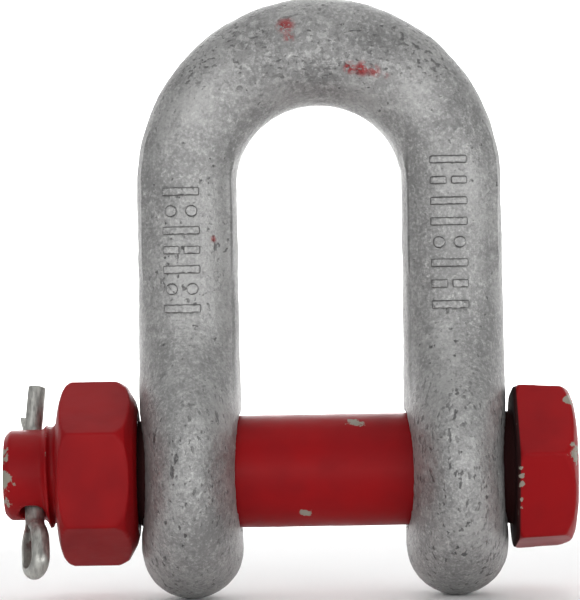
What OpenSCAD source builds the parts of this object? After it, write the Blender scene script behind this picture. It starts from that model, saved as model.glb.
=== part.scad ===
// Bolt-type chain shackle: a forged U-shaped body with two drilled eyes, a safety bolt
// through them, a thick hex nut on the bolt's threaded end and a split pin that keeps the nut on.
// Millimetres. The origin is on the bolt's axis, midway between the eyes.
// +X runs along the bolt towards its head, and +Z runs up to the crown.

/* [Shackle body] */
// Clear width between the two eyes
jaw_w = 40.6; // [30:0.2:60]
// Diameter of the round bar in the legs
leg_d = 25; // [18:0.5:30]
// Diameter of the round bar in the crown
crown_d = 26; // [18:0.5:32]
// Height of the crown's centre above the bolt's axis
crown_h = 71.5; // [56:0.5:120]
// Thickness of each eye, measured along the bolt
eye_w = 25.4; // [19:0.2:31]
// Outer diameter of each eye
eye_d = 63; // [50:1:80]
// Radius of the hollow that blends each leg into its eye
flare_r = 36; // [20:1:60]
// Radius of each eye's forged side face
side_r = 76; // [60:1:120]
// How much wider the hole is than the bolt's shank
hole_clearance = 1.4; // [0.6:0.1:2.4]

/* [Bolt] */
// Diameter of the bolt's plain shank
shank_d = 28; // [20:0.5:34]
// Gap between the head and the eye beside it
head_gap = 1.4; // [0.6:0.1:4]
// Width of the head across its flats, at the shank
head_af = 38.5; // [36:0.5:50]
// Thickness of the head
head_h = 16; // [8:0.5:24]
// Forging draft on each of the head's flats, in degrees
head_draft = 3; // [1:0.5:6]
// Height of the slope around the head's outer end
head_slope = 3; // [1:0.5:5]
// Turn of the head about the bolt's axis, in degrees
head_turn = 49; // [0:1:59]
// How far inside the eye the shank ends, on the nut's side
shank_inset = 0.3; // [0.1:0.1:2]
// How much smaller the thread is than the shank, across its crests
thread_step = 1; // [0.5:0.1:3]
// Pitch of the thread
thread_pitch = 3; // [2:0.25:3.5]
// How much smaller the plain tip is than the thread's roots
tip_step = 1.2; // [0.4:0.1:3]
// Length of the tip past the cross hole's edge
tip_wall = 3.8; // [3:0.1:10]
// Chamfer around the end of the tip
tip_chamfer = 1.4; // [0.5:0.1:2.5]

/* [Nut] */
// Width of the nut across its flats
nut_af = 40; // [38:0.5:52]
// Thickness of the nut
nut_h = 20; // [14:0.5:26]
// Gap between the nut and the end of the bolt's shank
nut_gap = 0.7; // [0.5:0.1:3]
// Turn of the nut about the bolt's axis, in degrees
nut_turn = 1.7; // [0:0.1:59]
// Shortest length of thread that shows past the nut
thread_spare = 1.5; // [0.5:0.1:2]
// Radial clearance between the nut's thread and the bolt's
thread_clearance = 0.3; // [0.2:0.05:0.4]

/* [Split pin] */
// Diameter of the pin's two legs laid together
pin_d = 4.8; // [3.2:0.1:6]
// How much wider the cross hole is than the pin
pin_clearance = 1.6; // [1.4:0.1:2.4]
// How far the pin can be pushed back before its eye meets the bolt
pin_play = 1.2; // [0.4:0.1:3]
// Gap between the nut's outer face and the pin's legs
pin_gap = 4; // [3:0.1:7]
// Lean of the pin from the vertical, in degrees
pin_tilt = 33; // [0:1:60]
// Lean of the pin inside its hole, towards the tip at the top, in degrees
pin_lean = 3; // [0:0.5:3]
// Turn of the pin about its own axis, in degrees
pin_turn = 30; // [-40:1:40]
// Clear width inside the pin's eye
loop_w = 4.8; // [3:0.2:6]
// Length of the straight sides of the pin's eye
loop_l = 4.5; // [2:0.5:12]
// Radius of the bends in the pin, on the round side of its wire
wire_bend_r = 3; // [1:0.1:5]
// Length of the leg that is bent up a little
long_leg = 10.5; // [6:0.5:20]
// Bend of the long leg, in degrees
long_bend = 15; // [10:1:50]
// Length of the leg that is bent further
short_leg = 3.5; // [3:0.5:14]
// Bend of the short leg, in degrees
short_bend = 20; // [18:1:75]

/* [Hidden] */
$fn = 96;

// Shackle body
leg_x = (jaw_w + eye_w) / 2;
eye_r = eye_d / 2;
hole_d = shank_d + hole_clearance;
flare_x = leg_d / 2 + flare_r;
flare_z = sqrt(pow(eye_r + flare_r, 2) - pow(flare_x, 2));
flare_foot = flare_z * eye_r / (eye_r + flare_r);

// Places along the bolt
eye_out = jaw_w / 2 + eye_w;
head_x = eye_out + head_gap;
shank_end = -eye_out + shank_inset;
nut_in = shank_end - nut_gap;
nut_out = nut_in - nut_h;
thread_d = shank_d - thread_step;
thread_depth = 0.54 * thread_pitch;
thread_crest = thread_pitch / 8;
flank = thread_depth * tan(30);
thread_rings = ceil((nut_gap + nut_h + thread_spare) / thread_pitch);
thread_end = shank_end - thread_rings * thread_pitch;
tip_d = thread_d - 2 * thread_depth - tip_step;
edge = 0.8;

// Split pin
wire_r = pin_d / 2;
hole_r = wire_r + pin_clearance / 2;
pin_x = nut_out - pin_gap - wire_r;
tip_end = pin_x - hole_r - tip_wall;
split = 0.08;
neck_z = tip_d / 2 + 0.6 + pin_play;
bend_z = tip_d / 2 + 1;
loop_r = loop_w / 2;
bend_r = wire_r + wire_bend_r;
neck_arc = acos(1 - (loop_r - split) / (2 * bend_r));
neck_drop = 2 * bend_r * sin(neck_arc);
arc_steps = 6;
round_steps = 10;

// Points of a ring-shaped thread from x to the far side of its last ring, as [radius, place].
// The rings stand one pitch apart, and spare is added to every radius.
function thread_points(x, rings, spare) = [
    for (i = [0 : rings - 1])
        let (
            root_r = thread_d / 2 - thread_depth + spare,
            crest_r = thread_d / 2 + spare,
            middle = x + (i + 0.5) * thread_pitch,
            half = thread_crest / 2
        )
        each [
            [root_r, middle - half - flank], [crest_r, middle - half],
            [crest_r, middle + half], [root_r, middle + half + flank]
        ]
];

// A solid turned about the X axis from [radius, place] points
module turned(points) {
    rotate([0, 90, 0]) rotate_extrude() polygon(points);
}

// A round-edged disc around the bolt's axis: the eye before its side faces are forged in
module eye_disc() {
    rotate([0, 90, 0]) rotate_extrude() {
        translate([0, -eye_w / 2]) square([eye_r - eye_w / 2, eye_w]);
        translate([eye_r - eye_w / 2, 0]) intersection() {
            circle(d = eye_w);
            translate([-1, -eye_w]) square([eye_w, 2 * eye_w]);
        }
    }
}

// The bell-shaped root between the round leg and the wide eye
module eye_flare() {
    rotate_extrude() difference() {
        union() {
            intersection() {
                circle(r = eye_r);
                square([eye_r, flare_foot]);
            }
            translate([0, flare_foot - 1]) square([flare_x / 2, flare_z - flare_foot + 1]);
        }
        translate([flare_x, flare_z]) circle(r = flare_r);
    }
}

// Two big cylinders whose common part has bulging side faces eye_w apart
module side_faces() {
    tall = eye_r + flare_z - 0.5;
    intersection_for (side = [-1, 1])
        translate([side * (side_r - eye_w / 2), 0, -eye_r]) cylinder(h = tall, r = side_r, $fn = 192);
}

// One eye with its leg, standing over the bolt's axis
module eye_and_leg() {
    intersection() {
        union() {
            eye_disc();
            eye_flare();
        }
        side_faces();
    }
    cylinder(h = crown_h, d1 = leg_d, d2 = crown_d);
}

module shackle_body() {
    color("silver") difference() {
        union() {
            for (side = [-1, 1]) translate([side * leg_x, 0, 0]) eye_and_leg();
            translate([0, 0, crown_h]) rotate([90, 0, 0])
                rotate_extrude(angle = 180) translate([leg_x, 0]) circle(d = crown_d);
        }
        translate([-eye_out - 1, 0, 0]) rotate([0, 90, 0]) cylinder(h = 2 * eye_out + 2, d = hole_d);
    }
}

// A hexagon that narrows away from the shank, cut from three wedges
module drafted_hex() {
    lean = head_h * tan(head_draft);
    intersection_for (turn = [0, 60, 120])
        rotate([head_turn + turn, 0, 0]) rotate([90, 0, 0])
            linear_extrude(height = 2 * head_af, center = true)
                polygon([
                    [head_x, -head_af / 2], [head_x + head_h, lean - head_af / 2],
                    [head_x + head_h, head_af / 2 - lean], [head_x, head_af / 2]
                ]);
}

module bolt_head() {
    corner = head_af / sqrt(3);
    head_end = head_x + head_h;
    intersection() {
        drafted_hex();
        turned([
            [0, head_x], [corner - edge, head_x], [corner, head_x + edge],
            [corner, head_end - head_slope], [corner - head_slope, head_end], [0, head_end]
        ]);
    }
}

module bolt() {
    color("firebrick") difference() {
        union() {
            bolt_head();
            turned(concat(
                [
                    [0, tip_end], [tip_d / 2 - tip_chamfer, tip_end],
                    [tip_d / 2, tip_end + tip_chamfer], [tip_d / 2, thread_end]
                ],
                thread_points(thread_end, thread_rings, 0),
                [
                    [thread_d / 2 - thread_depth, shank_end], [shank_d / 2 - edge, shank_end],
                    [shank_d / 2, shank_end + edge], [shank_d / 2, head_x + edge], [0, head_x + edge]
                ]
            ));
        }
        translate([pin_x, 0, 0]) rotate([-pin_tilt, 0, 0])
            cylinder(h = 2 * tip_d, r = hole_r, center = true);
    }
}

// A cone that opens the mouth of the nut's thread, out past the face at x
module thread_mouth(x, out) {
    mouth_r = thread_d / 2 + thread_clearance + edge;
    deep = thread_depth + edge;
    turned([[0, x + out], [mouth_r + 1, x + out], [mouth_r - deep, x - out * deep], [0, x - out * deep]]);
}

module nut() {
    corner = nut_af / sqrt(3);
    slope = corner - 0.48 * nut_af;
    color("firebrick") difference() {
        intersection() {
            translate([nut_out, 0, 0]) rotate([nut_turn, 0, 0]) rotate([0, 90, 0])
                cylinder(h = nut_h, r = corner, $fn = 6);
            turned([
                [0, nut_out], [corner - slope, nut_out], [corner + 0.1, nut_out + slope * tan(30)],
                [corner + 0.1, nut_in - slope * tan(40)], [corner - slope, nut_in], [0, nut_in]
            ]);
        }
        turned(concat(
            [[0, thread_end - thread_pitch]],
            thread_points(thread_end - thread_pitch, thread_rings + 1, thread_clearance),
            [[0, shank_end]]
        ));
        thread_mouth(nut_out, -1);
        thread_mouth(nut_in, 1);
    }
}

// Stations along an arc of the pin's wire, as [x, z, direction that its round side faces].
// The round side faces away from the arc's centre, or towards it if inward is -1.
function wire_arc(centre, r, inward, from, to) = [
    for (i = [0 : arc_steps])
        let (turn = from + (to - from) * i / arc_steps)
        [centre[0] + inward * r * cos(turn), centre[1] + inward * r * sin(turn), turn]
];

// Stations from the bottom of the pin's eye to the tip of one leg
function half_wire(bend, reach) =
    let (
        loop_z = -neck_z - neck_drop - loop_l,
        leg = wire_arc([split + bend_r, bend_z], bend_r, -1, 0, -bend),
        last = leg[arc_steps]
    )
    concat(
        wire_arc([0, loop_z], loop_r, 1, -90, 0),
        wire_arc([loop_r - bend_r, loop_z + loop_l], bend_r, 1, 0, neck_arc),
        wire_arc([split + bend_r, -neck_z], bend_r, -1, neck_arc, 0),
        leg,
        [[last[0] + reach * sin(bend), last[1] + reach * cos(bend), -bend]]
    );

// Drops each station that repeats the one before it
function without_repeats(stations) = [
    for (i = [0 : len(stations) - 1])
        if (i == 0 || norm(stations[i] - stations[i - 1]) > 0.001) stations[i]
];

// The half-round section of the wire at a station
function half_round(station) = [
    for (j = [0 : round_steps])
        let (a = -90 + 180 * j / round_steps)
        [
            station[0] + wire_r * cos(a) * cos(station[2]),
            wire_r * sin(a),
            station[1] + wire_r * cos(a) * sin(station[2])
        ]
];

// A half-round wire, bent double with its flat sides together
module split_wire() {
    long = without_repeats(half_wire(long_bend, long_leg));
    short = without_repeats(half_wire(short_bend, short_leg));
    stations = concat(
        [for (i = [len(long) - 1 : -1 : 0]) long[i]],
        [for (i = [1 : len(short) - 1]) [-short[i][0], short[i][1], 180 - short[i][2]]]
    );
    rings = len(stations);
    sides = round_steps + 1;
    points = [for (station = stations) each half_round(station)];
    walls = [
        for (i = [0 : rings - 2], j = [0 : sides - 1])
            let (k = (j + 1) % sides)
            [i * sides + j, i * sides + k, (i + 1) * sides + k, (i + 1) * sides + j]
    ];
    first_cap = [for (j = [sides - 1 : -1 : 0]) j];
    last_cap = [for (j = [0 : sides - 1]) (rings - 1) * sides + j];
    polyhedron(points, concat(walls, [first_cap, last_cap]), convexity = 6);
}

module cotter_pin() {
    color("gainsboro") translate([pin_x, 0, 0]) rotate([-pin_tilt, 0, 0])
        rotate([0, -pin_lean, 0]) rotate([0, 0, pin_turn - 90]) split_wire();
}

shackle_body();
bolt();
nut();
cotter_pin();
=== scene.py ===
"""Bolt-type chain shackle: forged and galvanised body, red safety bolt and nut, zinc split pin.

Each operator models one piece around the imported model, in metres and in its frame:
+X along the bolt towards its head, +Z up to the crown, and the origin on the bolt's axis.
"""

from math import acos, asin, cos, pi, radians, sin, sqrt, tan

import bpy
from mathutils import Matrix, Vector


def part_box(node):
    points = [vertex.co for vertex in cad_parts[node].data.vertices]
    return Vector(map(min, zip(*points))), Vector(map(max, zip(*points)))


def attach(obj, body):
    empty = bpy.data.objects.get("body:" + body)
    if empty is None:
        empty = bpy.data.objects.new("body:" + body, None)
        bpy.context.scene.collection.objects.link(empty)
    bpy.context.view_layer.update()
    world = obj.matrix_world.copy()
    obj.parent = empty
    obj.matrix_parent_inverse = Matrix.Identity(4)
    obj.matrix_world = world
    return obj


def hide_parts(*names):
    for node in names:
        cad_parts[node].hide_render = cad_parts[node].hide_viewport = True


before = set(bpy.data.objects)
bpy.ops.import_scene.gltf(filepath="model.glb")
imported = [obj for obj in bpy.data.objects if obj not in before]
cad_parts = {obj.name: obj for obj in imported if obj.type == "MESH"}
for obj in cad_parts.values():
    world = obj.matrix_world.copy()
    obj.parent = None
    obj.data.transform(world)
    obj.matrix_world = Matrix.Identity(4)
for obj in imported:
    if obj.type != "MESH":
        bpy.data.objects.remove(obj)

bl_info = {
    "name": "Chain Shackle",
    "version": (1, 0, 0),
    "blender": (4, 5, 0),
    "location": "View3D > Sidebar > Shackle",
    "description": "Models a forged chain shackle with its bolt, nut and split pin",
    "category": "Object",
}

MM = 0.001
ALONG_X = (0, pi / 2, 0)
ALONG_Y = (pi / 2, 0, 0)

# Sides of a turned piece
ROUND_SIDES = 96

# Depth of the thread for each unit of pitch, and the tip's step inside the thread's roots
THREAD_DEPTH = 0.54
TIP_STEP = 0.6 * MM

# Rings in the bolt's and the nut's thread
THREAD_RINGS = 7

# Each tally mark's depth before it is trimmed, and where its middle is
MARK_DEPTH = 14 * MM
MARK_MIDDLE_Y = -8 * MM

# Where paint has rubbed off on the zinc: place and radius in millimetres
RED_SMEARS = (
    ((-7.6, -11, 110), 3.2),
    ((-6.8, -12, 107), 2.2),
    ((8, -12.5, 99.6), 2.2),
    ((11, -12.5, 99.3), 2.6),
    ((14, -12, 98.7), 2.4),
    ((17, -12, 97.6), 1.6),
    ((21, -10, 92.5), 1.6),
    ((-26, -11, 58), 1.4),
    ((26, -14, 5), 3.5),
    ((24.5, -12, 9), 2.5),
)

# Where the zinc is dirty: place and radius in millimetres
ZINC_SMEARS = (
    ((-14, -11, 104), 15),
    ((0, -12, 102), 17),
    ((15, -12, 103), 14),
    ((33, -12, 86), 8),
    ((36, -12, 4), 14),
)

BODY_LOW, BODY_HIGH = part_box("shackle_body")
BOLT_LOW, BOLT_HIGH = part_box("bolt")
NUT_LOW, NUT_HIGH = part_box("nut")
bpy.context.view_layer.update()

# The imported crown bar's radius, which gives the legs' places and the crown's centre
PACKED_BAR_R = 13 * MM
LEG_X = BODY_HIGH.x - PACKED_BAR_R
CROWN_Z = BODY_HIGH.z - PACKED_BAR_R - LEG_X
EYE_R = BODY_HIGH.y

# Where the bolt's paint is chipped: place and radius in millimetres
BOLT_CHIPS = (
    ((8, -7, 12), 2.2),
    ((-5, -10, -10), 1.6),
    ((-79.4, -10, -1), 2.6),
    ((-80, -9, 5), 2.4),
    ((-80, -9, -6), 2.0),
    ((61, -9, 17), 2.2),
    ((62.5, -18, 4), 3.0),
    ((48.1, -19.9, 1), 0.8),
    ((48.1, -19.4, -1), 0.8),
    ((48.1, -19.0, -3), 0.8),
    ((48.1, -18.2, -7), 0.8),
    ((48.1, -17.7, -9), 0.8),
)

# Painted shadow on the bolt in the gaps between each eye and the head or the nut, where the shank runs into
# shade: start and end along X in millimetres
BOLT_GAP_SHADOWS = ((43.0, 48.1), (-46.4, -43.0))


# ---------------------------------------------------------------- sizes and colours


def length(name, default, description):
    """A length in metres for a property group"""
    return bpy.props.FloatProperty(
        name=name, default=default, description=description, unit="LENGTH", min=0.0, precision=5
    )


def angle(name, default, description):
    """An angle, given in degrees, for a property group"""
    return bpy.props.FloatProperty(
        name=name, default=radians(default), description=description, subtype="ANGLE"
    )


def colour(name, default, description):
    """A linear colour for a property group"""
    return bpy.props.FloatVectorProperty(
        name=name, default=default, description=description, subtype="COLOR", size=3, min=0.0, max=1.0
    )


class BodySizes(bpy.types.PropertyGroup):
    leg_d: length("Leg bar", 25 * MM, "Diameter of the round bar in the legs")
    crown_d: length("Crown bar", 27 * MM, "Diameter of the round bar at the top of the crown")
    eye_w: length("Eye width", 25.4 * MM, "Thickness of each eye along the bolt")
    flare_r: length("Flare radius", 36 * MM, "Radius of the hollow between each leg and its eye")
    hole_d: length("Hole", 29.4 * MM, "Diameter of the hole through each eye")
    ridge_h: length("Trim ridge", 0.9 * MM, "Height of the ridges where the flash was trimmed")
    mark_h: length("Mark height", 0.95 * MM, "How far the tally marks stand proud of the legs")
    lump_h: length("Lumps", 0.5 * MM, "Depth of the coating's slow waves")
    grain_h: length("Grain", 0.18 * MM, "Depth of the coating's small lumps")
    voxel: length("Voxel", 0.76 * MM, "Size of the cells that the forging's skin is rebuilt with")


class BoltSizes(bpy.types.PropertyGroup):
    shank_d: length("Shank", 28 * MM, "Diameter of the plain shank")
    head_af: length("Head", 38.5 * MM, "Width of the head across its flats")
    head_h: length("Head thickness", 16 * MM, "Thickness of the head")
    head_turn: angle("Head turn", 49, "Turn of the head about the bolt's axis")
    head_draft: angle("Head draft", 3, "Forging draft on the head's flats")
    thread_d: length("Thread", 27 * MM, "Diameter over the thread's crests")
    pitch: length("Pitch", 3 * MM, "Pitch of the thread")
    thread_start: length("Thread start", 45.4 * MM, "Distance from the origin to the shank's end")
    tip_chamfer: length("Tip chamfer", 1.5 * MM, "Chamfer around the end of the tip")
    voxel: length("Voxel", 0.47 * MM, "Size of the cells that the bolt's skin is rebuilt with")


class NutSizes(bpy.types.PropertyGroup):
    across_flats: length("Across flats", 40 * MM, "Width of the nut across its flats")
    turn: angle("Turn", 1.7, "Turn of the nut about the bolt's axis")
    clearance: length("Clearance", 0.3 * MM, "Radial clearance between the two threads")
    voxel: length("Voxel", 0.36 * MM, "Size of the cells that the nut's skin is rebuilt with")


class PinSizes(bpy.types.PropertyGroup):
    wire_d: length("Wire", 4.8 * MM, "Diameter of the two legs laid together")
    hole_d: length("Cross hole", 6.4 * MM, "Diameter of the cross hole in the bolt")
    place: length("Place", 72.5 * MM, "Distance from the origin to the cross hole's centre")
    tilt: angle("Tilt", 33, "Lean of the pin from the vertical")
    lean: angle("Lean", 3, "Lean of the pin inside its hole")
    turn: angle("Turn", 30, "Turn of the pin about its own axis")
    play: length("Play", 1.2 * MM, "How far the pin can be pushed back")
    eye_w: length("Eye width", 4.8 * MM, "Clear width inside the pin's eye")
    eye_l: length("Eye length", 4.5 * MM, "Length of the straight sides of the pin's eye")
    bend_r: length("Bend radius", 5.4 * MM, "Radius of the bends, on the flat side of the wire")
    long_leg: length("Long leg", 10.5 * MM, "Straight length of the long leg past its bend")
    long_bend: angle("Long bend", 15, "Bend of the long leg")
    short_leg: length("Short leg", 3.5 * MM, "Straight length of the short leg past its bend")
    short_bend: angle("Short bend", 20, "Bend of the short leg")


class FinishColours(bpy.types.PropertyGroup):
    zinc: colour("Zinc", (0.375, 0.375, 0.37), "Hot-dip galvanising")
    zinc_shade: colour("Dull zinc", (0.22, 0.22, 0.218), "Dull patches of the galvanising")
    # Dark zinc: real pits and smears, painted shade on the sides of the raised marks, and a darker line
    # beside the trimmed ridges
    zinc_dark: colour("Pitted zinc", (0.06, 0.059, 0.06), "Dark pits and smears in the galvanising")
    # Painted glints: bright specks put into the zinc's colour in place of its sparkle
    zinc_glint: colour("Bright zinc", (0.7, 0.7, 0.69), "Rubbed high spots of the galvanising")
    paint: colour("Paint", (0.265, 0.004, 0.006), "Red enamel")
    # Dark paint: darker red for uneven patches, for painted shade in the enamel's hollows, and for the
    # wire's red stain
    paint_dark: colour("Dark paint", (0.12, 0.005, 0.008), "Red enamel in dirty corners")
    steel: colour("Bare steel", (0.25, 0.23, 0.19), "Steel under chipped enamel")
    # Near-black painted shadow for the bolt in the gaps beside the eyes
    gap_shadow: colour("Gap shadow", (0.012, 0.008, 0.008), "Grime in the gaps beside the eyes")
    wire: colour("Wire", (0.46, 0.46, 0.43), "Zinc-plated wire")
    stage: colour("Stage", (0.92, 0.92, 0.92), "Pale floor and backdrop")


class Shackle(bpy.types.PropertyGroup):
    body: bpy.props.PointerProperty(type=BodySizes)
    bolt: bpy.props.PointerProperty(type=BoltSizes)
    nut: bpy.props.PointerProperty(type=NutSizes)
    pin: bpy.props.PointerProperty(type=PinSizes)
    finish: bpy.props.PointerProperty(type=FinishColours)


# ---------------------------------------------------------------- modelling helpers


def mode(name):
    """Switches the active object's mode"""
    bpy.ops.object.mode_set(mode=name)


def add(name, primitive, **settings):
    """Adds a mesh primitive as a new piece, names it and applies its place"""
    bpy.ops.object.select_all(action="DESELECT")
    primitive(**settings)
    piece = bpy.context.active_object
    piece.name = piece.data.name = name
    bpy.ops.object.transform_apply(location=True, rotation=True, scale=True)
    return piece


def only(piece):
    """Selects one object and makes it active"""
    bpy.ops.object.select_all(action="DESELECT")
    piece.select_set(True)
    bpy.context.view_layer.objects.active = piece


def modify(piece, kind, **settings):
    """Adds a modifier with its settings and applies it"""
    only(piece)
    modifier = piece.modifiers.new(kind.title(), kind)
    for name, value in settings.items():
        setattr(modifier, name, value)
    bpy.ops.object.modifier_apply(modifier=modifier.name)


def pick(piece, wanted):
    """Selects the vertices that a test says, with the edges and faces between them"""
    mesh = piece.data
    for vertex in mesh.vertices:
        vertex.select = wanted(vertex.co)
    for group in (mesh.edges, mesh.polygons):
        for item in group:
            item.select = all(mesh.vertices[i].select for i in item.vertices)


def cut(piece, tool, operation="DIFFERENCE"):
    """Cuts one closed piece with another, and removes the tool"""
    modify(piece, "BOOLEAN", operation=operation, object=tool, solver="EXACT")
    bpy.data.objects.remove(tool, do_unlink=True)


def join(piece, others):
    """Joins the other objects into the piece"""
    only(piece)
    for other in others:
        other.select_set(True)
    bpy.ops.object.join()


def face_outwards(piece):
    """Merges doubles and turns every face outwards"""
    only(piece)
    mode("EDIT")
    bpy.ops.mesh.select_all(action="SELECT")
    bpy.ops.mesh.remove_doubles(threshold=0.005 * MM)
    bpy.ops.mesh.normals_make_consistent(inside=False)
    mode("OBJECT")


def pull_on(move=(0, 0, 0), turn=0.0, centre=(0, 0, 0), grow=(1, 1, 1), middle=(0, 0, 0)):
    """Extrudes what is selected, turns it about Y through centre (+Z goes to +X), and resizes it"""
    bpy.ops.mesh.extrude_region_move(TRANSFORM_OT_translate={"value": move})
    if turn:
        # With no window, transform.rotate turns the other way
        bpy.ops.transform.rotate(value=-turn, orient_axis="Y", center_override=centre)
    if tuple(grow) != (1, 1, 1):
        bpy.ops.transform.resize(value=grow, center_override=middle)


def turned(name, points):
    """A closed solid turned about the X axis from (place, radius) points"""
    x, r = points[0]
    piece = add(
        name,
        bpy.ops.mesh.primitive_circle_add,
        vertices=ROUND_SIDES,
        radius=r,
        fill_type="NGON",
        location=(x, 0, 0),
        rotation=ALONG_X,
    )
    mode("EDIT")
    bpy.ops.mesh.select_all(action="SELECT")
    for next_x, next_r in points[1:]:
        grow = next_r / r
        pull_on(move=(next_x - x, 0, 0), grow=(1, grow, grow), middle=(next_x, 0, 0))
        x, r = next_x, next_r
    mode("OBJECT")
    face_outwards(piece)
    return piece


def thread_rings(start, pitch, crest_r, root_r):
    """(place, radius) points of a thread's rings, one pitch apart"""
    half = pitch / 16
    flank = (crest_r - root_r) * tan(radians(30))
    points = []
    for i in range(THREAD_RINGS):
        middle = start + (i + 0.5) * pitch
        points += [
            (middle - half - flank, root_r),
            (middle - half, crest_r),
            (middle + half, crest_r),
            (middle + half + flank, root_r),
        ]
    return points


def hex_prism(name, x0, x1, across_flats, turn, draft=0.0):
    """A hexagon along X with a corner on top, then turned about X, and drafted towards x1"""
    corner = across_flats / sqrt(3)
    piece = add(
        name,
        bpy.ops.mesh.primitive_cylinder_add,
        vertices=6,
        radius=corner,
        depth=x1 - x0,
        location=((x0 + x1) / 2, 0, 0),
        rotation=ALONG_X,
    )
    piece.rotation_euler = (pi / 2 + turn, 0, 0)
    only(piece)
    bpy.ops.object.transform_apply(location=False, rotation=True, scale=False)
    shrink = 1 - 2 * (x1 - x0) * tan(draft) / across_flats
    pick(piece, lambda place: place.x > (x0 + x1) / 2)
    mode("EDIT")
    bpy.ops.transform.resize(value=(1, shrink, shrink), center_override=(x1, 0, 0))
    mode("OBJECT")
    return piece


def reskin(piece, voxel, smoothing):
    """Rebuilds the piece as one even skin, and softens its edges as forging and paint do"""
    modify(piece, "REMESH", mode="VOXEL", voxel_size=voxel, use_smooth_shade=True)
    modify(piece, "SMOOTH", factor=0.5, iterations=smoothing)


def ripple(piece, name, scale, depth):
    """Moves the skin in and out by a noise of the given scale"""
    texture = bpy.data.textures.new(name, "CLOUDS")
    texture.noise_scale = scale
    texture.noise_depth = 2
    modify(
        piece,
        "DISPLACE",
        texture=texture,
        texture_coords="LOCAL",
        direction="NORMAL",
        strength=depth,
        mid_level=0.5,
    )


def hand_over(piece, body, node, material):
    """Gives the finished piece its material, its body, and the node that it stands for"""
    only(piece)
    bpy.ops.object.shade_smooth()
    piece.data.materials.clear()
    piece.data.materials.append(material)
    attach(piece, body)
    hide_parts(node)


# ---------------------------------------------------------------- shader helpers


class Nodes:
    """A small builder for a node tree: adds nodes and joins their sockets"""

    def __init__(self, tree):
        self.tree = tree

    def add(self, kind, inputs=None, **settings):
        node = self.tree.nodes.new(kind)
        for name, value in settings.items():
            setattr(node, name, value)
        for name, value in (inputs or {}).items():
            self.set(node, name, value)
        return node

    def set(self, node, name, value):
        socket = node.inputs[name]
        if isinstance(value, bpy.types.NodeSocket):
            self.tree.links.new(value, socket)
        else:
            socket.default_value = value

    def math(self, operation, a, b=0.0):
        return self.add("ShaderNodeMath", {0: a, 1: b}, operation=operation).outputs[0]

    def all_of(self, first, *others):
        """Several masks multiplied together"""
        for mask in others:
            first = self.math("MULTIPLY", first, mask)
        return first

    def parts(self, vector):
        """A vector's X, Y and Z"""
        return self.add("ShaderNodeSeparateXYZ", {"Vector": vector}).outputs

    def mix(self, factor, a, b):
        node = self.add("ShaderNodeMix", {0: factor}, data_type="RGBA")
        self.set(node, 6, a)
        self.set(node, 7, b)
        return node.outputs[2]

    def ramp(self, value, low, high, to_low=0.0, to_high=1.0):
        inputs = {"Value": value, 1: low, 2: high, 3: to_low, 4: to_high}
        return self.add("ShaderNodeMapRange", inputs, interpolation_type="SMOOTHSTEP").outputs[0]

    def noise(self, place, scale, detail=3.0, roughness=0.55):
        inputs = {"Vector": place, "Scale": scale, "Detail": detail, "Roughness": roughness}
        return self.add("ShaderNodeTexNoise", inputs).outputs["Fac"]


def in_metres(values):
    """Numbers in millimetres, in metres"""
    return tuple(value * MM for value in values)


def rgba(colour_value):
    """A linear colour with full alpha"""
    return (*colour_value, 1.0)


def new_group(name, inputs, outputs):
    """An empty shader node group with float and vector sockets"""
    tree = bpy.data.node_groups.new(name, "ShaderNodeTree")
    for label, kind, default in inputs:
        socket = tree.interface.new_socket(label, in_out="INPUT", socket_type=kind)
        if default is not None:
            socket.default_value = default
    for label, kind in outputs:
        tree.interface.new_socket(label, in_out="OUTPUT", socket_type=kind)
    nodes = Nodes(tree)
    return tree, nodes, nodes.add("NodeGroupInput"), nodes.add("NodeGroupOutput")


def pits_group():
    """Irregular small pits: 1 inside a pit, more of them where the clouds are high"""
    name = "Pits"
    if name in bpy.data.node_groups:
        return bpy.data.node_groups[name]
    tree, nodes, given, result = new_group(
        name,
        [
            ("Place", "NodeSocketVector", None),
            ("Size", "NodeSocketFloat", 3 * MM),
            ("Amount", "NodeSocketFloat", 0.3),
        ],
        [("Mask", "NodeSocketFloat")],
    )
    scale = nodes.math("DIVIDE", 1.0, given.outputs["Size"])
    warp = nodes.add("ShaderNodeTexNoise", {"Vector": given.outputs["Place"], "Detail": 3.0})
    nodes.set(warp, "Scale", scale)
    clouds = nodes.noise(given.outputs["Place"], 55.0, 2.0)
    cut_low = nodes.math("SUBTRACT", 0.95, given.outputs["Amount"])
    cut_at = nodes.math("SUBTRACT", cut_low, nodes.math("MULTIPLY", clouds, 0.25))
    over = nodes.math("SUBTRACT", warp.outputs["Fac"], cut_at)
    fade = nodes.ramp(nodes.noise(given.outputs["Place"], 240.0, 2.0), 0.3, 0.65, 0.35, 1.0)
    nodes.set(result, "Mask", nodes.math("MULTIPLY", nodes.ramp(over, 0.0, 0.07), fade))
    return tree


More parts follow.
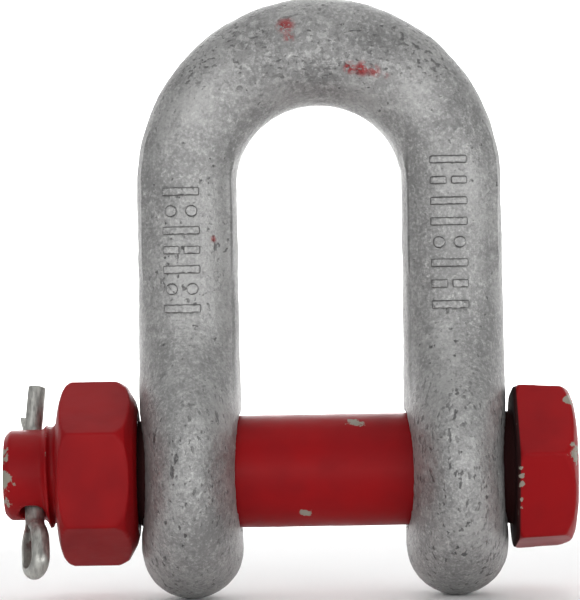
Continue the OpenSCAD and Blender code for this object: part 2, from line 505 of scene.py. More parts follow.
def wear_and_hollow_shade_group():
    """Edge wear: 1 on sharp outer edges, broken up by noise; and 1 in hollows, a mask for painted shade"""
    name = "Edge wear"
    if name in bpy.data.node_groups:
        return bpy.data.node_groups[name]
    tree, nodes, given, result = new_group(
        name,
        [
            ("Place", "NodeSocketVector", None),
            ("Edge", "NodeSocketFloat", 0.54),
            ("Amount", "NodeSocketFloat", 0.5),
            ("Size", "NodeSocketFloat", 3 * MM),
        ],
        [("Mask", "NodeSocketFloat"), ("Hollow shade", "NodeSocketFloat")],
    )
    point = nodes.add("ShaderNodeNewGeometry").outputs["Pointiness"]
    high = nodes.math("ADD", given.outputs["Edge"], 0.06)
    edge = nodes.ramp(point, given.outputs["Edge"], high)
    scale = nodes.math("DIVIDE", 1.0, given.outputs["Size"])
    noise = nodes.add("ShaderNodeTexNoise", {"Vector": given.outputs["Place"], "Detail": 4.0})
    nodes.set(noise, "Scale", scale)
    patches = nodes.noise(given.outputs["Place"], 90.0, 1.0)
    broken = nodes.math("MULTIPLY", nodes.math("ADD", noise.outputs["Fac"], patches), 0.5)
    cut_at = nodes.math("SUBTRACT", 0.85, nodes.math("MULTIPLY", given.outputs["Amount"], 0.5))
    torn = nodes.ramp(nodes.math("SUBTRACT", broken, cut_at), 0.0, 0.03)
    nodes.set(result, "Mask", nodes.math("MULTIPLY", edge, torn))
    nodes.set(result, "Hollow shade", nodes.ramp(point, 0.49, 0.44))
    return tree


def new_material(name):
    """A material with only a Principled BSDF, and a builder for its tree"""
    material = bpy.data.materials.new(name)
    material.use_nodes = True
    tree = material.node_tree
    tree.nodes.clear()
    nodes = Nodes(tree)
    shader = nodes.add("ShaderNodeBsdfPrincipled")
    output = nodes.add("ShaderNodeOutputMaterial", {"Surface": shader.outputs[0]})
    output.location = (300, 0)
    place = nodes.add("ShaderNodeTexCoord").outputs["Object"]
    return material, nodes, shader, place


def use_group(nodes, tree, inputs):
    """Places a node group in a material with its own values"""
    node = nodes.add("ShaderNodeGroup")
    node.node_tree = tree
    for name, value in inputs.items():
        nodes.set(node, name, value)
    return node.outputs


def smudge(nodes, place, centre, radius, grain):
    """A smear around a point on the piece, with a torn outline"""
    distance = nodes.add("ShaderNodeVectorMath", {0: place, 1: centre}, operation="DISTANCE")
    near = nodes.ramp(distance.outputs["Value"], radius, radius * 0.3)
    torn = nodes.ramp(nodes.noise(place, 1 / grain, 4.0, 0.7), 0.42, 0.52)
    return nodes.math("MULTIPLY", near, torn)


def chip(nodes, place, centre, radius):
    """A chip around a point on the piece, with a sharp and wandering outline"""
    distance = nodes.add("ShaderNodeVectorMath", {0: place, 1: centre}, operation="DISTANCE")
    across = nodes.math("DIVIDE", distance.outputs["Value"], radius)
    wander = nodes.math("MULTIPLY", nodes.noise(place, 420.0, 4.0, 0.6), 3.2)
    return nodes.ramp(nodes.math("ADD", across, wander), 2.5, 2.3)


def mark_sides(nodes, place):
    """1 on the sides of the raised marks, which face up, down or across on the legs' fronts: a mask for
    painted shade there
    """
    facing = nodes.parts(nodes.add("ShaderNodeTexCoord").outputs["Normal"])
    ledge = nodes.ramp(nodes.math("ABSOLUTE", facing["Z"]), 0.25, 0.5)
    side = nodes.ramp(nodes.math("ABSOLUTE", facing["X"]), 0.62, 0.8)
    at = nodes.parts(place)
    from_leg = nodes.math("SUBTRACT", nodes.math("ABSOLUTE", at["X"]), LEG_X)
    return nodes.all_of(
        nodes.math("MAXIMUM", ledge, side),
        nodes.ramp(nodes.math("ABSOLUTE", from_leg), 7.5 * MM, 6.5 * MM),
        nodes.ramp(at["Y"], -9 * MM, -10 * MM),
        nodes.ramp(at["Z"], 38 * MM, 39 * MM),
        nodes.ramp(at["Z"], 80 * MM, 79 * MM),
    )


def trim_line(nodes, place):
    """1 along a darkened line beside the trimmed ridge on the inner side of each leg"""
    at = nodes.parts(place)
    line_x = LEG_X - 11.2 * MM
    off = nodes.math("SUBTRACT", nodes.math("ABSOLUTE", at["X"]), line_x)
    return nodes.all_of(
        nodes.ramp(nodes.math("ABSOLUTE", off), 0.6 * MM, 0.1 * MM),
        nodes.ramp(at["Y"], 0.0, -1 * MM),
        nodes.ramp(at["Z"], 12 * MM, 24 * MM),
        nodes.ramp(at["Z"], 86 * MM, 76 * MM),
    )


def streaky_pits(nodes, place, stretch, size, amount, height_from, height_to):
    """Pits drawn out along one direction, between two heights on the piece"""
    drawn = nodes.add("ShaderNodeMapping", {"Vector": place, "Scale": stretch}).outputs[0]
    mask = use_group(nodes, pits_group(), {"Place": drawn, "Size": size, "Amount": amount})["Mask"]
    return nodes.all_of(mask, nodes.ramp(nodes.parts(place)["Z"], height_from, height_to))


def galvanised_material(colours):
    """Satin grey zinc: painted glints as fine bright specks, dark smears and pits, painted shade beside the
    raised marks, a few red smears
    """
    material, nodes, shader, place = new_material("Galvanised steel")
    clouds = nodes.noise(place, 60.0, 4.0, 0.6)
    mottle = nodes.noise(place, 520.0, 5.0, 0.7)
    grain = nodes.noise(place, 1300.0, 3.0, 0.7)
    broad = nodes.math("ADD", nodes.math("MULTIPLY", clouds, 0.35), nodes.math("MULTIPLY", mottle, 0.3))
    tone = nodes.math("ADD", broad, nodes.math("MULTIPLY", grain, 0.35))
    base = nodes.mix(nodes.ramp(tone, 0.4, 0.58), rgba(colours.zinc_shade), rgba(colours.zinc))
    # Painted glints: bright specks in the zinc's colour, standing in for its sparkle
    painted_glints = nodes.math("MULTIPLY", nodes.ramp(grain, 0.5, 0.75), nodes.ramp(mottle, 0.42, 0.62))
    base = nodes.mix(nodes.math("MULTIPLY", painted_glints, 0.5), base, rgba(colours.zinc_glint))
    pits = use_group(nodes, pits_group(), {"Place": place, "Size": 1.5 * MM, "Amount": 0.17})["Mask"]
    at_eyes = streaky_pits(nodes, place, (1.0, 1.0, 0.55), 1.4 * MM, 0.23, 34 * MM, 12 * MM)
    at_crown = streaky_pits(nodes, place, (0.6, 1.0, 1.0), 1.2 * MM, 0.22, 88 * MM, 100 * MM)
    dark = nodes.math("MAXIMUM", pits, nodes.math("MAXIMUM", at_eyes, at_crown))
    # Painted shade on the sides of the raised marks, in dark zinc
    dirt_and_shade = nodes.math("MAXIMUM", dark, nodes.math("MULTIPLY", mark_sides(nodes, place), 0.9))
    dirt_and_shade = nodes.math("MAXIMUM", dirt_and_shade, nodes.math("MULTIPLY", trim_line(nodes, place), 0.5))
    for centre, radius in ZINC_SMEARS:
        spot = in_metres(centre)
        smear = nodes.math("MULTIPLY", smudge(nodes, place, spot, radius * MM, 2 * MM), 0.5)
        dirt_and_shade = nodes.math("MAXIMUM", dirt_and_shade, smear)
    base = nodes.mix(nodes.math("MULTIPLY", dirt_and_shade, 0.8), base, rgba(colours.zinc_dark))
    for centre, radius in RED_SMEARS:
        spot = in_metres(centre)
        red = smudge(nodes, place, spot, radius * MM, 1.5 * MM)
        base = nodes.mix(nodes.math("MULTIPLY", red, 0.85), base, rgba(colours.paint))
    nodes.set(shader, "Base Color", base)
    nodes.set(shader, "Roughness", nodes.ramp(mottle, 0.35, 0.65, 0.36, 0.5))
    shader.inputs["Metallic"].default_value = 0.55
    height = nodes.math("ADD", nodes.math("MULTIPLY", mottle, 0.7), nodes.math("MULTIPLY", grain, 0.3))
    height = nodes.math("SUBTRACT", height, nodes.math("MULTIPLY", dark, 0.35))
    bump = nodes.add("ShaderNodeBump", {"Height": height, "Distance": 0.5 * MM, "Strength": 0.9})
    nodes.set(shader, "Normal", bump.outputs[0])
    return material


def enamel_material(colours, name, chips, spots=(), shaded=()):
    """Satin red enamel, slightly uneven, chipped to steel at worn edges and at single spots, with painted
    shade in its hollows and painted shadow in the bands given by shaded
    """
    material, nodes, shader, place = new_material(name)
    wear = use_group(
        nodes, wear_and_hollow_shade_group(), {"Place": place, "Edge": 0.53, "Amount": chips, "Size": 2.5 * MM}
    )
    clouds = nodes.noise(place, 60.0, 3.0)
    base = nodes.mix(nodes.ramp(clouds, 0.3, 0.75, 0.0, 0.4), rgba(colours.paint), rgba(colours.paint_dark))
    # Painted shade: the enamel darkens in hollows
    base = nodes.mix(nodes.math("MULTIPLY", wear["Hollow shade"], 0.8), base, rgba(colours.paint_dark))
    bare = wear["Mask"]
    for centre, radius in spots:
        spot = in_metres(centre)
        bare = nodes.math("MAXIMUM", bare, chip(nodes, place, spot, radius * MM))
    dull = nodes.ramp(clouds, 0.3, 0.7, 0.36, 0.48)
    along, fade = nodes.parts(place)["X"], 0.4 * MM
    for here in shaded:
        start, end = in_metres(here)
        inside = nodes.all_of(
            nodes.ramp(along, start, start + fade), nodes.ramp(along, end, end - fade)
        )
        # Painted shadow: the shank goes near-black in each shaded band
        base = nodes.mix(nodes.math("MULTIPLY", inside, 0.93), base, rgba(colours.gap_shadow))
        dull = nodes.math("MAXIMUM", dull, inside)
    base = nodes.mix(bare, base, rgba(colours.steel))
    nodes.set(shader, "Base Color", base)
    nodes.set(shader, "Roughness", dull)
    shader.inputs["Specular IOR Level"].default_value = 0.1
    height = nodes.math("SUBTRACT", nodes.noise(place, 260.0, 3.0), nodes.math("MULTIPLY", bare, 0.6))
    bump = nodes.add("ShaderNodeBump", {"Height": height, "Distance": 0.12 * MM, "Strength": 0.5})
    nodes.set(shader, "Normal", bump.outputs[0])
    return material


def wire_material(colours):
    """Zinc-plated drawn wire with dull streaks and a red stain where it leaves the hole"""
    material, nodes, shader, place = new_material("Zinc wire")
    mapping = nodes.add("ShaderNodeMapping", {"Vector": place, "Scale": (1.0, 0.3, 0.3)})
    streaks = nodes.noise(mapping.outputs[0], 1500.0, 4.0, 0.6)
    base = nodes.mix(nodes.ramp(streaks, 0.35, 0.65), rgba(colours.zinc_dark), rgba(colours.wire))
    base = nodes.mix(0.6, base, rgba(colours.wire))
    stain = smudge(nodes, place, in_metres((-71.5, -9, -14)), 6 * MM, 2.5 * MM)
    base = nodes.mix(nodes.math("MULTIPLY", stain, 0.7), base, rgba(colours.paint_dark))
    nodes.set(shader, "Base Color", base)
    nodes.set(shader, "Roughness", nodes.ramp(streaks, 0.3, 0.7, 0.3, 0.45))
    shader.inputs["Metallic"].default_value = 0.75
    bump = nodes.add("ShaderNodeBump", {"Height": streaks, "Distance": 0.05 * MM, "Strength": 0.5})
    nodes.set(shader, "Normal", bump.outputs[0])
    return material


def stage_material(colours):
    """Plain pale backdrop paper"""
    material, nodes, shader, place = new_material("Backdrop paper")
    tone = nodes.ramp(nodes.noise(place, 3.0, 1.0), 0.3, 0.7, 0.99, 1.0)
    base = nodes.mix(tone, (0.85, 0.85, 0.85, 1.0), rgba(colours.stage))
    nodes.set(shader, "Base Color", base)
    shader.inputs["Roughness"].default_value = 0.9
    return material


# ---------------------------------------------------------------- shackle body


def bend_half_crown(sizes):
    """A quarter-turn of bent bar from the crown's top to the right leg, left as an open tube"""
    steps, ridge_step = 24, 20
    bar = sizes.crown_d
    half = add(
        "shackle_body_forging",
        bpy.ops.mesh.primitive_circle_add,
        vertices=72,
        radius=bar / 2,
        location=(0, 0, CROWN_Z + LEG_X),
        rotation=ALONG_X,
    )
    mode("EDIT")
    bpy.ops.mesh.select_all(action="SELECT")
    for step in range(1, steps + 1):
        turn = pi / 2 * step / steps
        middle = (LEG_X * sin(turn), 0, CROWN_Z + LEG_X * cos(turn))
        next_bar = sizes.leg_d + (sizes.crown_d - sizes.leg_d) * cos(turn) ** 2
        grow = (next_bar / bar,) * 3
        pull_on(turn=pi / 2 / steps, centre=(0, 0, CROWN_Z), grow=grow, middle=middle)
        bar = next_bar
        if step == ridge_step:
            trim_ridges(half, middle, bar, sizes.ridge_h)
    return half


def trim_ridges(piece, middle, bar, height):
    """Pushes out the newest ring's four vertices at 30 degrees from the bending plane"""
    mode("OBJECT")
    for vertex in piece.data.vertices:
        out = vertex.co - Vector(middle)
        if vertex.select and abs(abs(out.y) - bar / 4) < 0.01 * bar:
            vertex.co = Vector(middle) + out * (1 + 2 * height / bar)
    mode("EDIT")


def eye_sections(sizes):
    """(height, half width, half depth) down the leg, its flare and its eye"""
    leg_r = sizes.leg_d / 2
    eye_half = sizes.eye_w / 2
    flare_y = leg_r + sizes.flare_r
    flare_z = sqrt((EYE_R + sizes.flare_r) ** 2 - flare_y**2)
    flare_foot = flare_z * EYE_R / (EYE_R + sizes.flare_r)
    sections = [(CROWN_Z + (flare_z - CROWN_Z) * i / 8, leg_r, leg_r) for i in range(1, 9)]
    for i in range(1, 11):
        z = flare_z + (flare_foot - flare_z) * i / 10
        depth = flare_y - sqrt(sizes.flare_r**2 - (flare_z - z) ** 2)
        sections.append((z, leg_r + (eye_half - leg_r) * i / 10, depth))
    start = asin(flare_foot / EYE_R)
    for i in range(1, 41):
        turn = start + (radians(-86) - start) * i / 40
        z = EYE_R * sin(turn)
        below = max(0.0, eye_half - EYE_R - z)
        sections.append((z, sqrt(eye_half**2 - below**2), EYE_R * cos(turn)))
    return sections


def run_down_leg(half, sizes):
    """Carries the open tube down the leg and through the eye, and closes its end"""
    leg_r = sizes.leg_d / 2
    z, width, depth = CROWN_Z, leg_r, leg_r
    for next_z, next_width, next_depth in eye_sections(sizes):
        if depth == leg_r and next_depth > leg_r:
            trim_ridges(half, (LEG_X, 0, z), sizes.leg_d + 2 * sizes.ridge_h, -sizes.ridge_h)
        grow = (next_width / width, next_depth / depth, 1)
        pull_on(move=(0, 0, next_z - z), grow=grow, middle=(LEG_X, 0, next_z))
        z, width, depth = next_z, next_width, next_depth
    bpy.ops.mesh.edge_face_add()
    mode("OBJECT")


def tally_bar(x, z, width, height):
    """One plain bar across a leg, before it is trimmed to the leg's curve"""
    return add(
        "tally_bar",
        bpy.ops.mesh.primitive_cube_add,
        size=1,
        location=(x, MARK_MIDDLE_Y, z),
        scale=(width, MARK_DEPTH, height),
    )


def tally_dot(x, z, size):
    """One plain dot, before it is trimmed to the leg's curve"""
    return add(
        "tally_dot",
        bpy.ops.mesh.primitive_cylinder_add,
        vertices=24,
        radius=size / 2,
        depth=MARK_DEPTH,
        location=(x, MARK_MIDDLE_Y, z),
        rotation=ALONG_Y,
    )


def leg_sleeve(sizes, proud):
    """A closed skin round both legs, proud of them by a set amount"""
    top, foot = 95 * MM, 34 * MM
    leg_r = sizes.leg_d / 2 + proud
    sleeve = add(
        "leg_sleeve",
        bpy.ops.mesh.primitive_circle_add,
        vertices=ROUND_SIDES,
        radius=leg_r,
        fill_type="NGON",
        location=(LEG_X, 0, top),
    )
    mode("EDIT")
    bpy.ops.mesh.select_all(action="SELECT")
    z, width, depth = top, leg_r, leg_r
    for next_z, next_width, next_depth in eye_sections(sizes):
        if next_z > foot:
            next_width, next_depth = next_width + proud, next_depth + proud
            grow = (next_width / width, next_depth / depth, 1)
            pull_on(move=(0, 0, next_z - z), grow=grow, middle=(LEG_X, 0, next_z))
            z, width, depth = next_z, next_width, next_depth
    mode("OBJECT")
    modify(sleeve, "MIRROR", use_axis=(True, False, False), use_mirror_merge=False)
    face_outwards(sleeve)
    return sleeve


def tally_marks(sizes):
    """Rows of plain bars and dots on the front of both legs, standing proud by mark_h"""
    width, bar_h, dot, shift, first_z = 9.2 * MM, 2 * MM, 3 * MM, 1.2 * MM, 41 * MM
    off_middle, short = 0.28 * width, 0.44 * width
    rows = [(-LEG_X - shift, 4.8 * MM, "BdBsBdB"), (LEG_X - shift, 5.1 * MM, "BsBdBBsB")]
    marks = []
    for x, pitch, pattern in rows:
        z = first_z
        for mark in pattern:
            if mark == "B":
                marks.append(tally_bar(x, z, width, bar_h))
            elif mark == "s":
                marks += [tally_bar(x + s * off_middle, z, short, bar_h) for s in (-1, 1)]
            else:
                marks += [tally_dot(x + s * off_middle, z, dot) for s in (-1, 1)]
            z += pitch
    first = marks[0]
    join(first, marks[1:])
    sunk, fine_voxel = 1.5 * MM, 0.32 * MM
    cut(first, leg_sleeve(sizes, sizes.mark_h), "INTERSECT")
    cut(first, leg_sleeve(sizes, -sunk))
    reskin(first, fine_voxel, smoothing=4)
    return first


class SHACKLE_OT_body(bpy.types.Operator):
    """Forge the shackle's body: crown, legs, eyes, holes and tally marks"""

    bl_idname = "shackle.body"
    bl_label = "Body"
    bl_options = {"REGISTER", "UNDO"}

    def execute(self, context):
        sizes = context.scene.shackle.body
        forging = bend_half_crown(sizes)
        run_down_leg(forging, sizes)
        modify(forging, "MIRROR", use_axis=(True, False, False), merge_threshold=0.01 * MM)
        face_outwards(forging)
        drill = add(
            "eye_drill",
            bpy.ops.mesh.primitive_cylinder_add,
            vertices=128,
            radius=sizes.hole_d / 2,
            depth=4 * BODY_HIGH.x,
            rotation=ALONG_X,
        )
        cut(forging, drill)
        reskin(forging, sizes.voxel, smoothing=3)
        ripple(forging, "Slow waves", 9 * MM, sizes.lump_h)
        ripple(forging, "Small lumps", 2.2 * MM, sizes.grain_h)
        join(forging, [tally_marks(sizes)])
        material = galvanised_material(context.scene.shackle.finish)
        hand_over(forging, "shackle_body", "shackle_body", material)
        return {"FINISHED"}


# ---------------------------------------------------------------- bolt and nut


def thread_runout(sizes, start, root_r):
    """The last turn of the thread as a true helix about X, cut to a cone where it starts"""
    crest_r = sizes.thread_d / 2
    turns, foot, crest, sunk = 1.25, 1.1 * MM, 0.2 * MM, 1 * MM
    ridge = add("thread_ridge", bpy.ops.mesh.primitive_plane_add, size=2, rotation=ALONG_Y)
    for vertex in ridge.data.vertices:
        high = vertex.co.z > 0
        side = 1 if vertex.co.x > 0 else -1
        vertex.co = (start + side * (crest if high else foot), 0, crest_r if high else root_r - sunk)
    modify(
        ridge,
        "SCREW",
        axis="X",
        angle=2 * pi * turns,
        screw_offset=sizes.pitch * turns,
        steps=90,
        render_steps=90,
        use_merge_vertices=False,
    )
    only(ridge)
    mode("EDIT")
    bpy.ops.mesh.select_mode(type="EDGE")
    bpy.ops.mesh.select_all(action="DESELECT")
    bpy.ops.mesh.select_non_manifold()
    bpy.ops.mesh.fill_holes(sides=0)
    bpy.ops.mesh.select_mode(type="VERT")
    mode("OBJECT")
    face_outwards(ridge)
    lead = [(-0.9 * MM, root_r - sunk), (1.2 * MM, crest_r), (5 * MM, crest_r + 1 * MM)]
    cone = turned("thread_lead", [(start + x, r) for x, r in lead])
    cut(ridge, cone, "INTERSECT")
    return ridge


def forge_head(sizes):
    """The hex head: drafted flats trimmed by a domed end"""
    x0, x1 = BOLT_HIGH.x - sizes.head_h, BOLT_HIGH.x
    corner = sizes.head_af / sqrt(3)
    flat_on_top = radians(30)
    turn = sizes.head_turn + flat_on_top
    head = hex_prism("safety_bolt", x0, x1, sizes.head_af, turn, sizes.head_draft)
    dome = turned(
        "head_dome",
        [
            (x0 - 0.001 * MM, corner - 2.4 * MM),
            (x0 + 0.8 * MM, corner - 0.9 * MM),
            (x0 + 1.9 * MM, corner + 0.2 * MM),
            (x1 - 5.6 * MM, corner + 0.2 * MM),
            (x1 - 3.6 * MM, corner - 1.2 * MM),
            (x1 - 2.0 * MM, corner - 3.1 * MM),
            (x1 - 0.9 * MM, corner - 5.6 * MM),
            (x1 - 0.3 * MM, corner - 9.0 * MM),
            (x1 + 0.001 * MM, corner - 14.0 * MM),
        ],
    )
    cut(head, dome, "INTERSECT")
    return head


def turn_shank(sizes):
    """The plain shank, the thread's hidden rings and the tip, as one turned solid"""
    root_r = sizes.thread_d / 2 - THREAD_DEPTH * sizes.pitch
    tip_r = root_r - TIP_STEP
    end = BOLT_LOW.x
    rings_start = -sizes.thread_start - THREAD_RINGS * sizes.pitch
    shank_r = sizes.shank_d / 2
    points = [
        (end, tip_r - sizes.tip_chamfer),
        (end + sizes.tip_chamfer, tip_r),
        (rings_start - sizes.pitch, tip_r),
        (rings_start - sizes.pitch + 0.5 * MM, root_r),
        *thread_rings(rings_start, sizes.pitch, sizes.thread_d / 2, root_r),
        (-sizes.thread_start, root_r),
        (-sizes.thread_start + 0.01 * MM, shank_r - 0.8 * MM),
        (-sizes.thread_start + 0.8 * MM, shank_r),
        (BOLT_HIGH.x - sizes.head_h + 1 * MM, shank_r),
    ]
    return turned("shank", points), rings_start, root_r


class SHACKLE_OT_bolt(bpy.types.Operator):
    """Model the safety bolt: hex head, shank, thread, and tip with its cross hole"""

    bl_idname = "shackle.bolt"
    bl_label = "Bolt"
    bl_options = {"REGISTER", "UNDO"}

    def execute(self, context):
        sizes = context.scene.shackle.bolt
        pin = context.scene.shackle.pin
        head = forge_head(sizes)
        shank, rings_start, root_r = turn_shank(sizes)
        drill = add(
            "cross_drill",
            bpy.ops.mesh.primitive_cylinder_add,
            vertices=48,
            radius=pin.hole_d / 2,
            depth=2 * sizes.thread_d,
            location=(-pin.place, 0, 0),
            rotation=(-pin.tilt, 0, 0),
        )
        cut(shank, drill)
        runout = thread_runout(sizes, rings_start - sizes.pitch, root_r)
        join(head, [shank, runout])
        reskin(head, sizes.voxel, smoothing=2)
        ripple(head, "Paint waves", 7 * MM, 0.12 * MM)
        colours = context.scene.shackle.finish
        name, wear = "Red enamel on the bolt", 0.55
        material = enamel_material(colours, name, wear, BOLT_CHIPS, BOLT_GAP_SHADOWS)
        hand_over(head, "bolt", "bolt", material)
        return {"FINISHED"}


class SHACKLE_OT_nut(bpy.types.Operator):
    """Model the thick hex nut with its chamfered ends and threaded bore"""

    bl_idname = "shackle.nut"
    bl_label = "Nut"
    bl_options = {"REGISTER", "UNDO"}

    def execute(self, context):
        sizes = context.scene.shackle.nut
        bolt = context.scene.shackle.bolt
        x0, x1 = NUT_LOW.x, NUT_HIGH.x
        corner = sizes.across_flats / sqrt(3)
        nut = hex_prism("hex_nut", x0, x1, sizes.across_flats, sizes.turn)
        blank = turned(
            "nut_blank",
            [
                (x0 - 0.001 * MM, corner - 6.6 * MM),
                (x0 + 0.5 * MM, corner - 4.4 * MM),
                (x0 + 1.1 * MM, corner - 2.4 * MM),
                (x0 + 2.0 * MM, corner - 0.9 * MM),
                (x0 + 3.4 * MM, corner + 0.1 * MM),
                (x1 - 5.3 * MM, corner + 0.1 * MM),
                (x1 - 2.7 * MM, corner - 1.4 * MM),
                (x1 - 0.7 * MM, corner - 4.9 * MM),
                (x1 + 0.001 * MM, corner - 7.2 * MM),
            ],
        )
        cut(nut, blank, "INTERSECT")
        crest_r = bolt.thread_d / 2 + sizes.clearance
        root_r = crest_r - THREAD_DEPTH * bolt.pitch
        mouth_r = crest_r + 0.8 * MM
        deep = mouth_r - root_r
        start = -bolt.thread_start - THREAD_RINGS * bolt.pitch
        thread = thread_rings(start, bolt.pitch, crest_r, root_r)
        past = bolt.pitch
        cut(nut, turned("nut_tap", [(x0 - past, root_r), *thread, (x1 + past, root_r)]))
        for face, way in ((x0, -1), (x1, 1)):
            cone = [(face - way * deep, root_r - 0.1 * MM), (face + way * past, mouth_r + past)]
            cut(nut, turned("nut_countersink", cone))
        reskin(nut, sizes.voxel, smoothing=3)
        ripple(nut, "Nut paint waves", 6 * MM, 0.12 * MM)
        material = enamel_material(context.scene.shackle.finish, "Red enamel on the nut", 0.3)
        hand_over(nut, "nut", "nut", material)
        return {"FINISHED"}


# ---------------------------------------------------------------- split pin


def arc(turn, x, z, steps=8):
    """Carries the wire's end round a centre in the pin's own plane"""
    for _ in range(steps):
        pull_on(turn=turn / steps, centre=(x, 0, z))


def leg_up(sizes, side, bend, reach, bend_z, gap):
    """Bends the wire's end away from the other leg and runs it on to its tip"""
    arc(side * bend, side * (gap + sizes.bend_r), bend_z)
    pull_on(move=(side * reach * sin(bend), 0, reach * cos(bend)))


def bend_wire(sizes, tip_r):
    """The whole wire: up the long leg, then down round the eye and up the short leg"""
    gap, neck_gap, bend_gap = 0.08 * MM, 0.6 * MM, 1 * MM
    wire_r = sizes.wire_d / 2
    bend_z = tip_r + bend_gap
    neck_z = tip_r + neck_gap + sizes.play
    eye_r = sizes.eye_w / 2
    neck = acos(1 - (eye_r - gap) / (2 * sizes.bend_r))
    eye_top = -neck_z - 2 * sizes.bend_r * sin(neck)
    eye_foot = eye_top - sizes.eye_l
    wire = add(
        "split_pin",
        bpy.ops.mesh.primitive_circle_add,
        vertices=40,
        radius=wire_r,
        fill_type="NGON",
        location=(gap, 0, 0),
    )
    mode("EDIT")
    bpy.ops.mesh.select_all(action="SELECT")
    bpy.ops.mesh.bisect(plane_co=(gap, 0, 0), plane_no=(1, 0, 0), clear_inner=True)
    bpy.ops.mesh.select_all(action="SELECT")
    pull_on(move=(0, 0, bend_z))
    leg_up(sizes, 1, sizes.long_bend, sizes.long_leg, bend_z, gap)
    mode("OBJECT")
    pick(wire, lambda place: abs(place.z) < 0.001 * MM)
    mode("EDIT")
    pull_on(move=(0, 0, -neck_z))
    arc(-neck, gap + sizes.bend_r, -neck_z)
    arc(neck, eye_r - sizes.bend_r, eye_top)
    pull_on(move=(0, 0, -sizes.eye_l))
    arc(pi, 0, eye_foot, steps=20)
    pull_on(move=(0, 0, sizes.eye_l))
    arc(neck, sizes.bend_r - eye_r, eye_top)
    arc(-neck, -gap - sizes.bend_r, -neck_z)
    pull_on(move=(0, 0, neck_z + bend_z))
    leg_up(sizes, -1, sizes.short_bend, sizes.short_leg, bend_z, gap)
    mode("OBJECT")
    face_outwards(wire)
    return wire


class SHACKLE_OT_split_pin(bpy.types.Operator):
    """Bend the split pin: half-round wire, eye and two spread legs"""

    bl_idname = "shackle.split_pin"
    bl_label = "Split pin"
    bl_options = {"REGISTER", "UNDO"}

    def execute(self, context):
        sizes = context.scene.shackle.pin
        bolt = context.scene.shackle.bolt
        tip_r = bolt.thread_d / 2 - THREAD_DEPTH * bolt.pitch - TIP_STEP
        wire = bend_wire(sizes, tip_r)
        modify(
            wire, "BEVEL", width=0.3 * MM, segments=3, limit_method="ANGLE", angle_limit=radians(50)
        )
        only(wire)
        for turn in ((0, 0, sizes.turn - pi / 2), (0, -sizes.lean, 0), (-sizes.tilt, 0, 0)):
            wire.rotation_euler = turn
            bpy.ops.object.transform_apply(location=False, rotation=True, scale=False)
        wire.location = (-sizes.place, 0, 0)
        bpy.ops.object.transform_apply(location=True, rotation=False, scale=False)
        modify(wire, "SUBSURF", levels=1, render_levels=1)
        ripple(wire, "Wire dents", 3 * MM, 0.12 * MM)
        material = wire_material(context.scene.shackle.finish)
        hand_over(wire, "cotter_pin", "cotter_pin", material)
        return {"FINISHED"}


# ---------------------------------------------------------------- stage


def soft_light(name, place, aim, size, power):
    """A square soft box that looks at a point"""
    bpy.ops.object.light_add(type="AREA", location=place)
    light = bpy.context.active_object
    light.name = name
    light.data.size = size
    light.data.energy = power
    light.rotation_euler = (Vector(aim) - Vector(place)).to_track_quat("-Z", "Y").to_euler()


def sweep_backdrop(floor_z):
    """A floor that curves up into a wall behind the shackle"""
    half_width, front, bend_y, bend_r, top = 3.0, -2.5, 1.2, 0.6, 2.6
    sheet = add(
        "backdrop",
        bpy.ops.mesh.primitive_plane_add,
        size=2 * half_width,
        location=(0, 0, floor_z),
    )
    for vertex in sheet.data.vertices:
        vertex.co.y = bend_y if vertex.co.y > 0 else front
    pick(sheet, lambda place: place.y > 0)
    mode("EDIT")
    steps = 16
    for _ in range(steps):
        bpy.ops.mesh.extrude_region_move(TRANSFORM_OT_translate={"value": (0, 0, 0)})
        # With no window, transform.rotate turns the other way
        bpy.ops.transform.rotate(
            value=-pi / 2 / steps, orient_axis="X", center_override=(0, bend_y, floor_z + bend_r)
        )
    bpy.ops.mesh.extrude_region_move(TRANSFORM_OT_translate={"value": (0, 0, top)})
    mode("OBJECT")
    face_outwards(sheet)
    bpy.ops.object.shade_smooth()
    return sheet


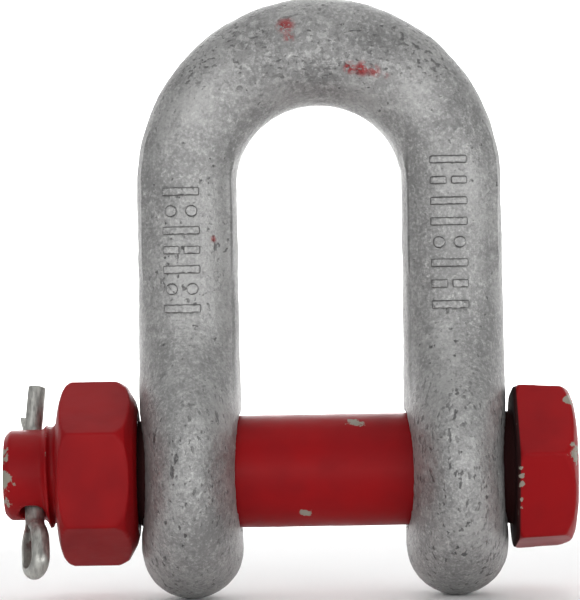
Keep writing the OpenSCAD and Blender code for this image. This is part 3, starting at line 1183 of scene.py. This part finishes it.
class SHACKLE_OT_stage(bpy.types.Operator):
    """Set up the pale backdrop, the soft lights and the camera"""

    bl_idname = "shackle.stage"
    bl_label = "Stage"
    bl_options = {"REGISTER", "UNDO"}

    def execute(self, context):
        scene = context.scene
        sheet = sweep_backdrop(BODY_LOW.z)
        sheet.data.materials.append(stage_material(scene.shackle.finish))
        world = bpy.data.worlds.new("Studio")
        world.use_nodes = True
        sky = world.node_tree.nodes["Background"].inputs
        sky["Color"].default_value = (1, 1, 1, 1)
        sky["Strength"].default_value = 0.47
        scene.world = world
        aim = (0, 0, 0.04)
        soft_light("key", (-0.6, -1.2, 0.5), aim, 0.7, 4)
        soft_light("fill", (0.9, -1.1, 0.1), aim, 0.8, 8)
        soft_light("low_fill", (-0.1, -0.8, -0.01), (0, 0, -0.01), 0.3, 1.2)
        soft_light("top", (0.1, 0.1, 1.2), (0, 0.2, 0), 1.0, 3)
        soft_light("floor_wash", (0, 0.9, 0.25), (0, 0.2, -0.03), 0.4, 1.5)
        soft_light("backdrop_wash", (0, 0.45, 0.9), (0, 1.8, 0.5), 1.4, 50)
        scene.view_settings.view_transform = "Standard"
        away, window, roll = 0.8, 0.15, radians(0.96)
        place = (-7.7 * MM, -away, 42.65 * MM)
        bpy.ops.object.camera_add(location=place, rotation=(pi / 2, roll, 0))
        camera = context.active_object
        camera.name = "camera"
        camera.data.lens = camera.data.sensor_width * away / window
        camera.data.dof.use_dof = False
        scene.camera = camera
        return {"FINISHED"}


# ---------------------------------------------------------------- panel and start


class SHACKLE_PT_panel(bpy.types.Panel):
    """Lists the pieces and their sizes"""

    bl_idname = "SHACKLE_PT_panel"
    bl_label = "Chain Shackle"
    bl_space_type = "VIEW_3D"
    bl_region_type = "UI"
    bl_category = "Shackle"

    def draw(self, context):
        shackle = context.scene.shackle
        for kind, group in zip(PIECES, (shackle.body, shackle.bolt, shackle.nut, shackle.pin)):
            box = self.layout.box()
            box.operator(kind.bl_idname)
            for name in group.__annotations__:
                box.prop(group, name)
        box = self.layout.box()
        box.operator(SHACKLE_OT_stage.bl_idname)
        for name in shackle.finish.__annotations__:
            box.prop(shackle.finish, name)


PIECES = (SHACKLE_OT_body, SHACKLE_OT_bolt, SHACKLE_OT_nut, SHACKLE_OT_split_pin)
CLASSES = (
    BodySizes,
    BoltSizes,
    NutSizes,
    PinSizes,
    FinishColours,
    Shackle,
    *PIECES,
    SHACKLE_OT_stage,
    SHACKLE_PT_panel,
)


def register():
    for kind in CLASSES:
        bpy.utils.register_class(kind)
    bpy.types.Scene.shackle = bpy.props.PointerProperty(type=Shackle)


def unregister():
    del bpy.types.Scene.shackle
    for kind in reversed(CLASSES):
        bpy.utils.unregister_class(kind)


def main():
    register()
    bpy.ops.shackle.body()
    bpy.ops.shackle.bolt()
    bpy.ops.shackle.nut()
    bpy.ops.shackle.split_pin()
    bpy.ops.shackle.stage()


if __name__ == "__main__":
    main()
